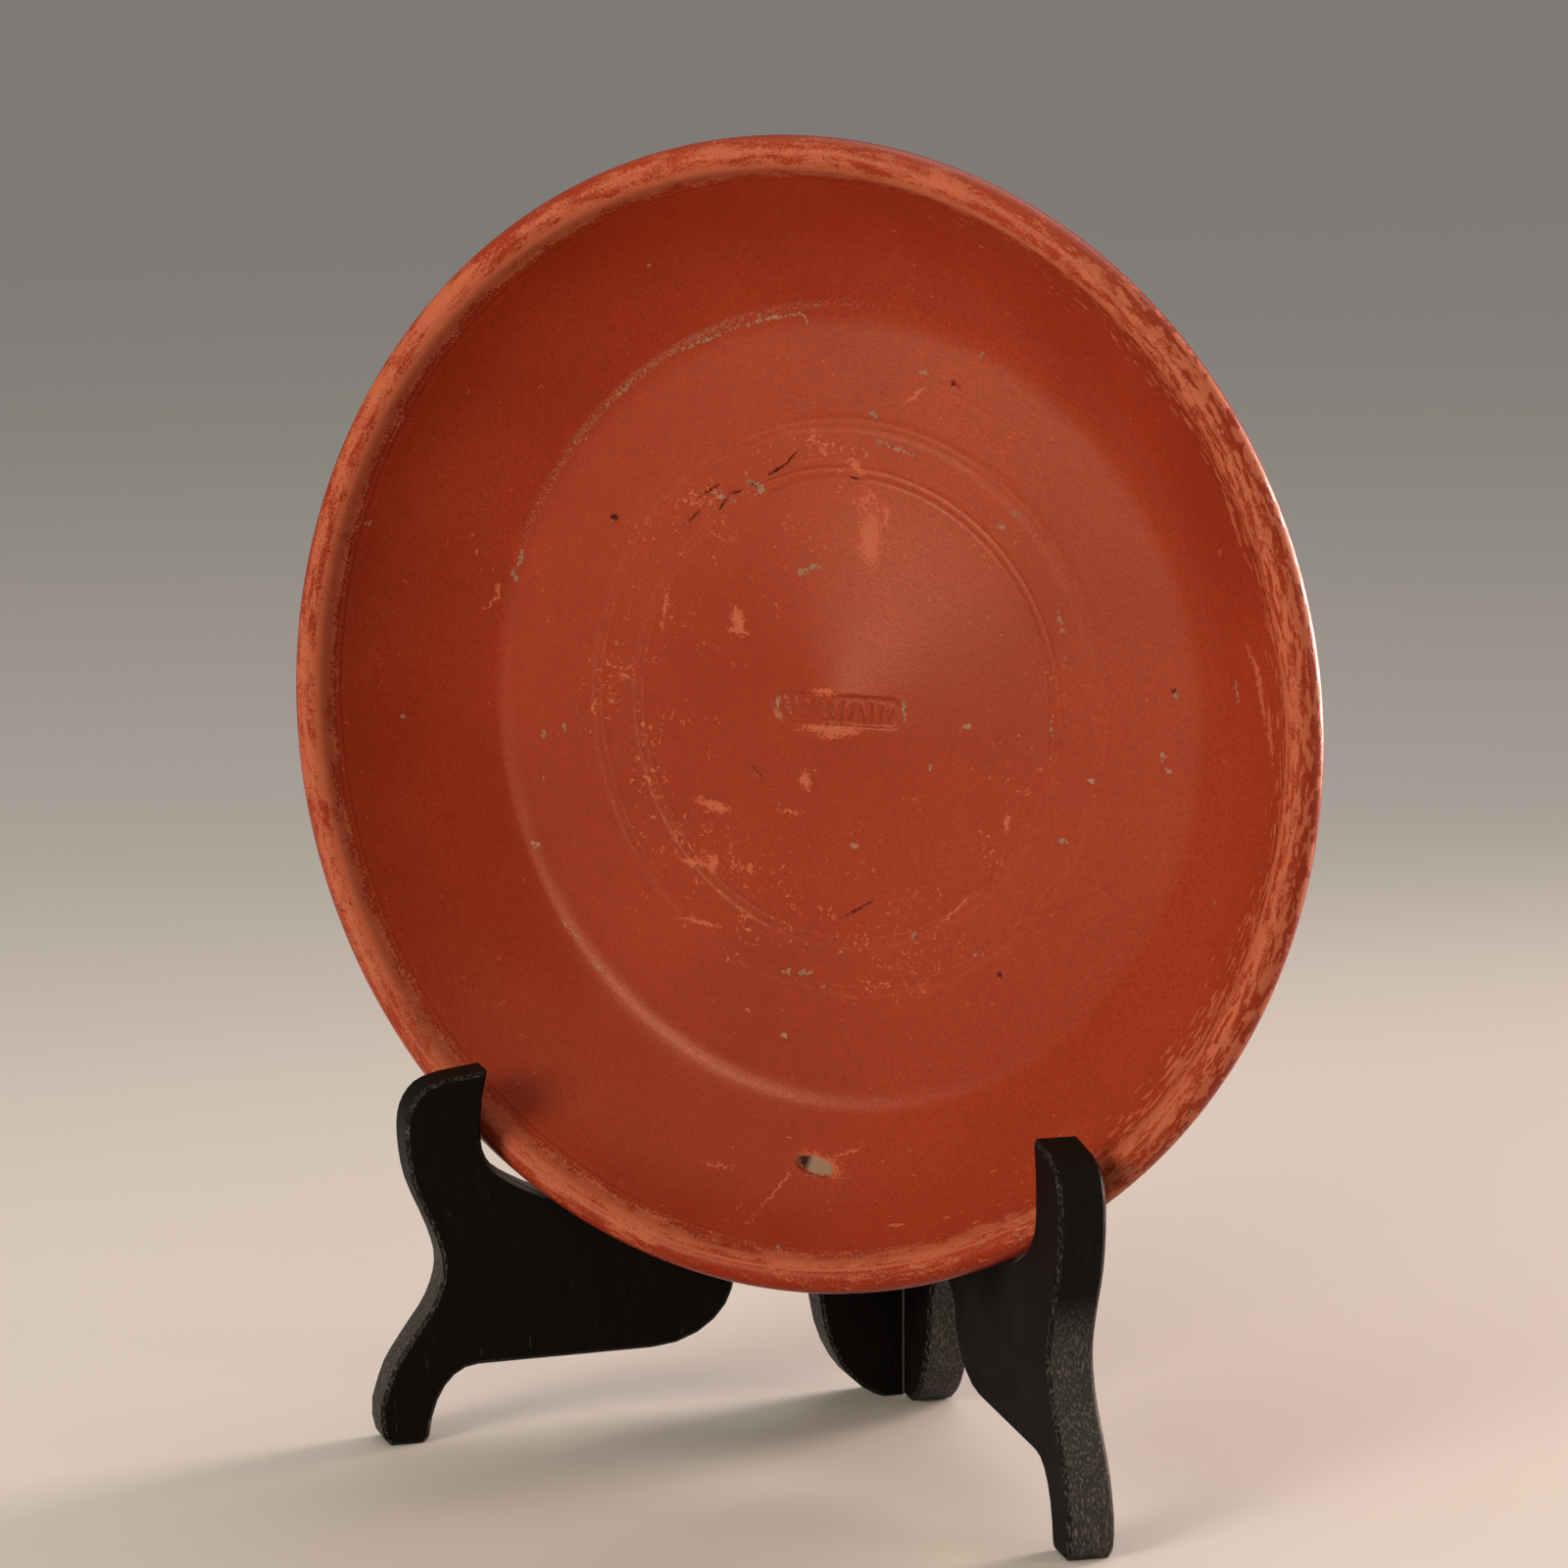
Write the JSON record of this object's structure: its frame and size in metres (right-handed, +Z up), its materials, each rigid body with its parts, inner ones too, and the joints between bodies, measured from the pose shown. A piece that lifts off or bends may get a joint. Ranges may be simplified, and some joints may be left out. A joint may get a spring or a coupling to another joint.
{
  "type": "terra sigillata dish on a display stand",
  "caption": "Round red-gloss pottery dish with a beaded rim and a low foot ring, leaning in the notches of a black wooden display stand made of two shaped boards.",
  "frame": {"origin": "on the ground under the middle of the whole thing's footprint", "axes": "+Z up, -Y the way the dish faces, +X to the right of someone who looks at the dish from the front"},
  "size_m": [0.176, 0.0678, 0.2047],
  "materials": {
    "red_slip": "satin",
    "black_wood": "satin"
  },
  "bodies": {
    "root": {"dish": "red_slip", "stand_board_left": "black_wood", "stand_board_right": "black_wood"}
  },
  "joints": []
}
